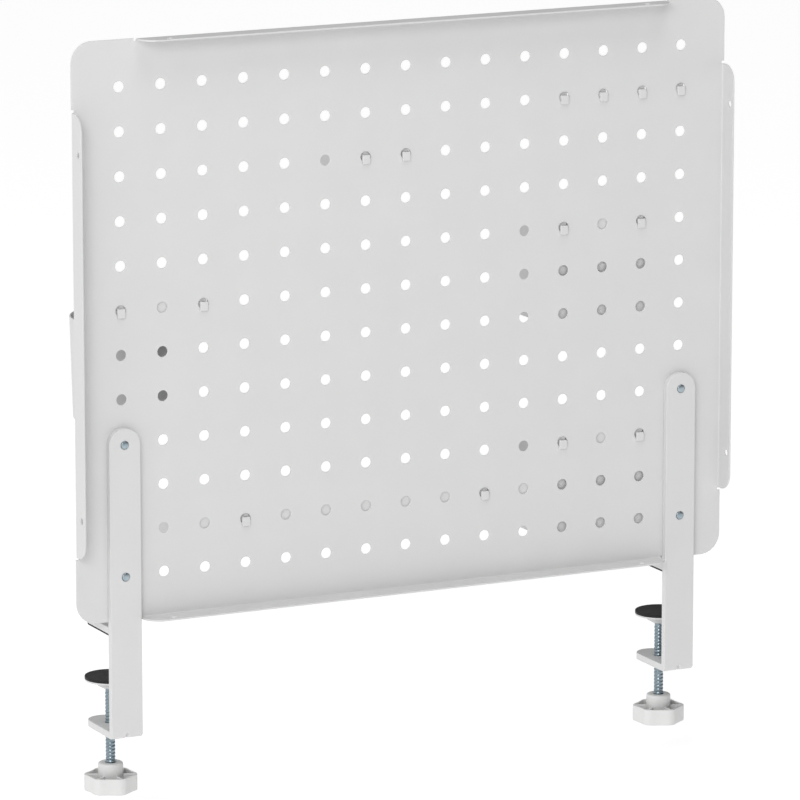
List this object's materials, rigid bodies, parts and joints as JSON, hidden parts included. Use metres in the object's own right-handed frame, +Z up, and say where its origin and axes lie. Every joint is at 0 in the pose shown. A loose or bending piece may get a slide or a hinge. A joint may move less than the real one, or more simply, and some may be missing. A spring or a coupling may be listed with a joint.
{
  "type": "desk-clamp pegboard",
  "caption": "Folded steel pegboard panel on two screw clamps that hold it upright behind a desk, with lift-off hooks, a cup, a tray, bins and a shelf.",
  "frame": {"origin": "desk edge: midway between the clamps, in the plane of the straps' front faces and of the panel's back face, at the height of the desk top", "axes": "+X along the desk edge, towards the cup; +Y away from the desk, out of the panel's back; +Z up along the panel"},
  "size_m": [0.618, 0.1383, 0.653],
  "materials": {
    "white_powder_coat": "fine satin white powder coat",
    "zinc_steel": "bright zinc plating with a cool tint",
    "white_plastic": "moulded white plastic, satin",
    "black_rubber": "matte black rubber"
  },
  "bodies": {
    "root": {"panel": "white_powder_coat", "strap_bolts": "zinc_steel", "strap_washers": "zinc_steel", "left_bracket": "white_powder_coat", "left_jaw": "white_powder_coat", "left_jaw_pad": "black_rubber", "right_bracket": "white_powder_coat", "right_jaw": "white_powder_coat", "right_jaw_pad": "black_rubber"},
    "left_foot": {"left_pressure_plate": "white_powder_coat", "left_rubber_disc": "black_rubber"},
    "left_screw": {"left_spindle": "zinc_steel", "left_knob": "white_plastic", "left_knob_cap": "white_plastic"},
    "right_foot": {"right_pressure_plate": "white_powder_coat", "right_rubber_disc": "black_rubber"},
    "right_screw": {"right_spindle": "zinc_steel", "right_knob": "white_plastic", "right_knob_cap": "white_plastic"},
    "hook_1": {"hook_1": "white_powder_coat"},
    "hook_2": {"hook_2": "white_powder_coat"},
    "hook_3": {"hook_3": "white_powder_coat"},
    "hook_4": {"hook_4": "white_powder_coat"},
    "small_tray": {"small_tray": "white_powder_coat", "small_tray_hanger": "white_powder_coat"},
    "cup": {"cup": "white_powder_coat", "cup_hanger": "white_powder_coat"},
    "upper_bin": {"upper_bin": "white_powder_coat", "upper_bin_hanger": "white_powder_coat"},
    "lower_bin": {"lower_bin": "white_powder_coat", "lower_bin_hanger": "white_powder_coat"},
    "shelf": {"shelf": "white_powder_coat", "shelf_hanger": "white_powder_coat"}
  },
  "joints": [
    {"name": "left_feed", "type": "slide", "parent": "root", "child": "left_foot", "axis": [0, 0, 1], "range_m": [-0.0298, 0.029]},
    {"name": "left_spin", "type": "hinge", "parent": "left_foot", "child": "left_screw", "pos_m": [0.266, -0.031, -0.09], "axis": [0, 0, 1], "range_deg": [-3353, 3263]},
    {"name": "right_feed", "type": "slide", "parent": "root", "child": "right_foot", "axis": [0, 0, 1], "range_m": [-0.0298, 0.029]},
    {"name": "right_spin", "type": "hinge", "parent": "right_foot", "child": "right_screw", "pos_m": [-0.266, -0.031, -0.09], "axis": [0, 0, 1], "range_deg": [-3353, 3263]},
    {"name": "hook_1_lift", "type": "slide", "parent": "root", "child": "hook_1", "axis": [0, 0, 1], "range_m": [0, 0.002]},
    {"name": "hook_2_lift", "type": "slide", "parent": "root", "child": "hook_2", "axis": [0, 0, 1], "range_m": [0, 0.002]},
    {"name": "hook_3_lift", "type": "slide", "parent": "root", "child": "hook_3", "axis": [0, 0, 1], "range_m": [0, 0.002]},
    {"name": "hook_4_lift", "type": "slide", "parent": "root", "child": "hook_4", "axis": [0, 0, 1], "range_m": [0, 0.002]},
    {"name": "small_tray_lift", "type": "slide", "parent": "root", "child": "small_tray", "axis": [0, 0, 1], "range_m": [0, 0.002]},
    {"name": "cup_lift", "type": "slide", "parent": "root", "child": "cup", "axis": [0, 0, 1], "range_m": [0, 0.002]},
    {"name": "upper_bin_lift", "type": "slide", "parent": "root", "child": "upper_bin", "axis": [0, 0, 1], "range_m": [0, 0.002]},
    {"name": "lower_bin_lift", "type": "slide", "parent": "root", "child": "lower_bin", "axis": [0, 0, 1], "range_m": [0, 0.002]},
    {"name": "shelf_lift", "type": "slide", "parent": "root", "child": "shelf", "axis": [0, 0, 1], "range_m": [0, 0.002]}
  ],
  "couplings": [
    {"joint": "left_spin", "follows": "left_feed", "rad_per_m": 1963.5},
    {"joint": "right_spin", "follows": "right_feed", "rad_per_m": 1963.5}
  ]
}
